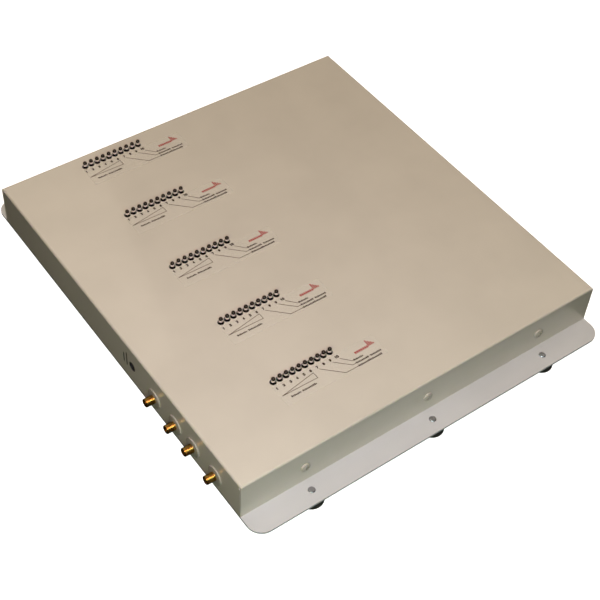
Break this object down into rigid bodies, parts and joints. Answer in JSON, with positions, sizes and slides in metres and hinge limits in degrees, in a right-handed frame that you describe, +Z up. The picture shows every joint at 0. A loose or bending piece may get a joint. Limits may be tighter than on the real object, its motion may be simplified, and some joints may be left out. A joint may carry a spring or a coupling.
{
  "type": "cellular signal booster",
  "caption": "Flat sheet-metal signal booster: a folded cover on a flanged base plate with rubber feet, rows of indicator lights on top, and antenna jacks and a power inlet on one wall.",
  "frame": {"origin": "middle of the whole footprint, jacks included, on the plane that the feet stand on", "axes": "+Z up, -X along the antenna jacks and out of the wall that carries them, +Y along that wall"},
  "size_m": [0.3078, 0.352, 0.0475],
  "materials": {
    "body_paint": "ivory powder coat with a fine even texture",
    "plate_paint": "lighter and cooler powder coat than the cover's",
    "zinc_steel": "bright zinc plating",
    "foot_rubber": "matt moulded rubber",
    "dress_finish": "satin light grey finish",
    "gold_plate": "polished gold plating",
    "white_plastic": "waxy white insulator",
    "black_plastic": "moulded black",
    "tin_plate": "satin tin plating",
    "circuit_board": "green solder mask",
    "label_film": "clear self-adhesive film",
    "bare_aluminium": "milled",
    "ceramic": "fired ceramic",
    "coax_jacket": "smooth brown cable jacket",
    "ferrite": "dull grey ferrite",
    "sleeve_film": "shrunk dark blue sleeve",
    "copper": "bare rolled copper",
    "led_lens": "clear epoxy lens, unlit"
  },
  "bodies": {
    "root": {"base_plate": "plate_paint", "cover": "body_paint", "cover_brackets": "zinc_steel", "clinch_nuts": "zinc_steel", "cover_screws": "body_paint", "rubber_feet": "foot_rubber", "foot_washers": "zinc_steel", "foot_screws": "zinc_steel", "dress_nuts": "dress_finish", "jack_shells": "gold_plate", "jack_insulators": "white_plastic", "jack_contacts": "gold_plate", "star_washers": "zinc_steel", "power_inlet_body": "black_plastic", "power_inlet_pin": "tin_plate", "power_inlet_tabs": "tin_plate", "led_row_1": "led_lens", "led_row_2": "led_lens", "led_row_3": "led_lens", "led_row_4": "led_lens", "led_row_5": "led_lens", "led_boards": "circuit_board", "led_board_pillars": "tin_plate", "led_headers": "black_plastic", "band_labels": "label_film", "band_boards": "circuit_board", "board_standoffs": "gold_plate", "board_screws": "zinc_steel", "heat_blocks": "bare_aluminium", "uplink_shields": "tin_plate", "downlink_shields": "tin_plate", "duplexer_filters": "ceramic", "splitter_board": "circuit_board", "splitter_shields": "tin_plate", "coax_ferrules": "gold_plate", "jack_pigtails": "coax_jacket", "board_sockets": "gold_plate", "band_jumpers": "coax_jacket", "power_board": "circuit_board", "power_chokes": "ferrite", "power_capacitors": "sleeve_film", "power_regulator": "black_plastic", "power_posts": "tin_plate", "power_link": "copper", "power_bus": "copper"}
  },
  "joints": []
}
